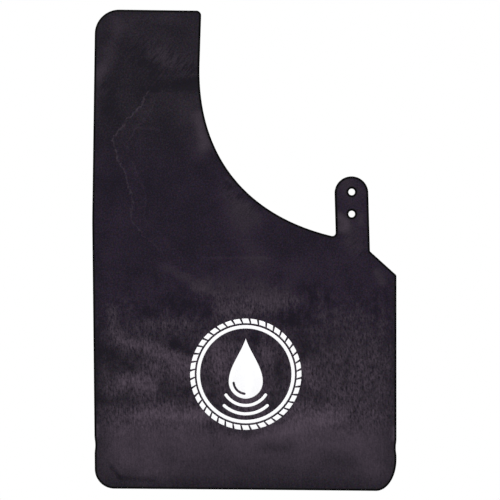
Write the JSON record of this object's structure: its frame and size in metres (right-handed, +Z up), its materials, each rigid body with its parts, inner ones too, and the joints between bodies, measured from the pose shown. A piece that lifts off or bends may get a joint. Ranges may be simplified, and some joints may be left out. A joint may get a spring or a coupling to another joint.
{
  "type": "mud flap",
  "caption": "Flat rubber mud flap with a fixing arm, a wheel-arch cut-out, a drilled tab and a printed tyre-and-drop figure; the lower skirt bends freely.",
  "frame": {"origin": "midway between the tab's two fixing holes, on the back face of the sheet", "axes": "+Z up along the height of the hanging flap, -Y out of the printed front face, +Y out of the back face that lies against the vehicle, +X towards the tab side"},
  "size_m": [0.3048, 0.0034, 0.4821],
  "materials": {
    "rubber_sheet": "matte black moulded rubber with a faint purple-grey bloom",
    "white_ink": "flat white screen-printing ink"
  },
  "bodies": {
    "fixed_panel": {"upper_panel": "rubber_sheet"},
    "free_skirt": {"lower_skirt": "rubber_sheet", "print_tread_blocks": "white_ink", "print_sidewall_ring": "white_ink", "print_water_drop": "white_ink", "print_ripples": "white_ink"}
  },
  "joints": [
    {"name": "skirt_flex", "type": "hinge", "parent": "fixed_panel", "child": "free_skirt", "pos_m": [-0.10615, -0.0016, -0.0839], "axis": [1, 0, 0], "range_deg": [-60, 45], "stiffness_Nm_per_rad": 0.05}
  ]
}
